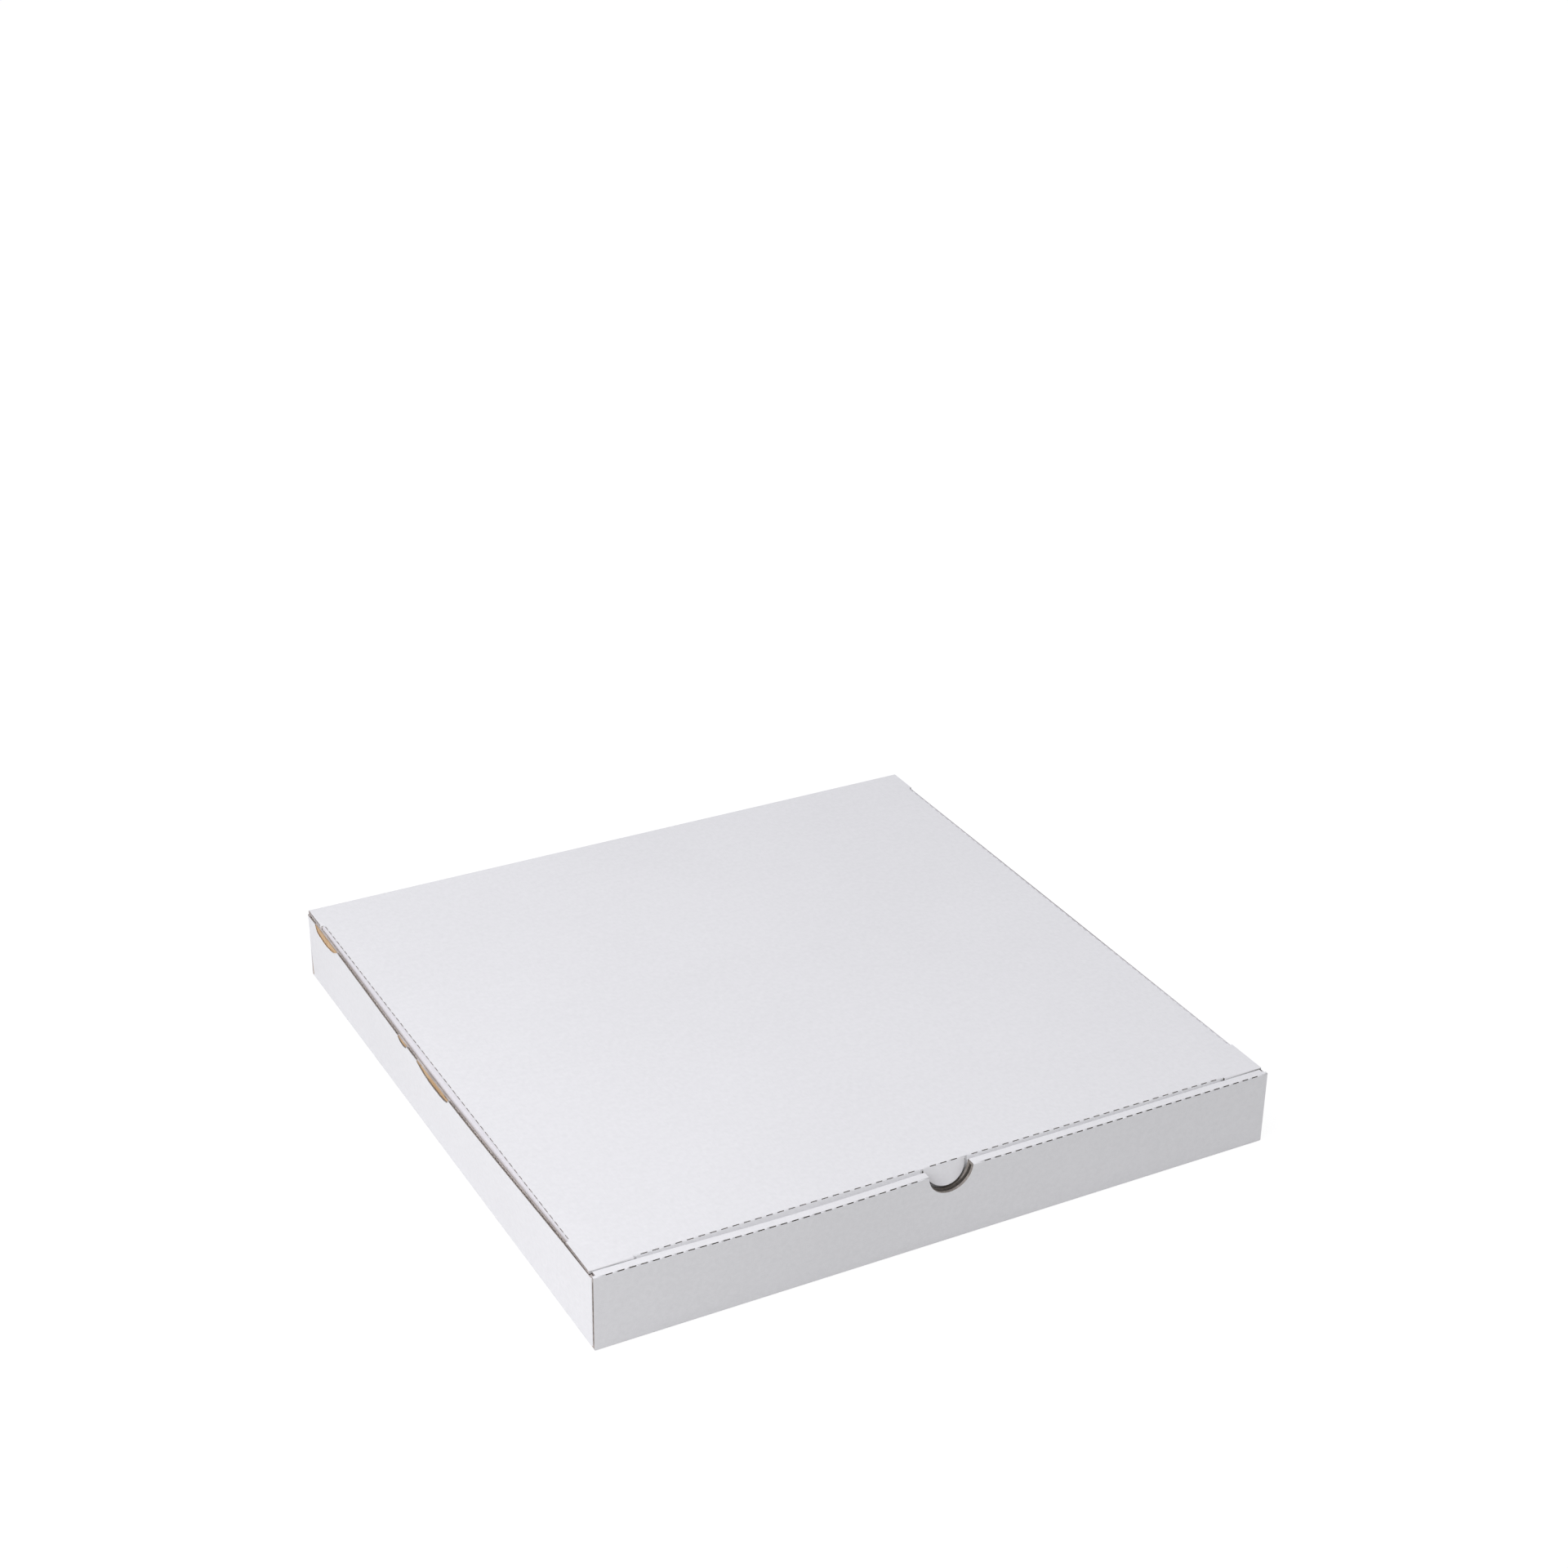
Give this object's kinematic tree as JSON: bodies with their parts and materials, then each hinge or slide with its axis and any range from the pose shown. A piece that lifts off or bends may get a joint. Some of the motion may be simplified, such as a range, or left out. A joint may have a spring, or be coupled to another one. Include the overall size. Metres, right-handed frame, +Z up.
{
  "type": "pizza box",
  "caption": "Flat square takeaway box folded from one sheet of white-faced fluted board, with a rolled front wall and a hinged tuck-in lid with a half-round thumb tab.",
  "frame": {"origin": "centre of the base panel's underside, on the table", "axes": "+Z up through the lid, -Y towards the front wall with the thumb tab, +X to the right seen from the front"},
  "size_m": [0.3635, 0.3622, 0.04],
  "materials": {
    "white_board": "matte white coated liner outside, plain brown kraft inside, raw fluted cut edges"
  },
  "bodies": {
    "tray": {"tray": "white_board"},
    "lid": {"lid": "white_board"}
  },
  "joints": [
    {"name": "lid_hinge", "type": "hinge", "parent": "tray", "child": "lid", "pos_m": [0, 0.18, 0.04], "axis": [-1, 0, 0], "range_deg": [0, 180]}
  ]
}
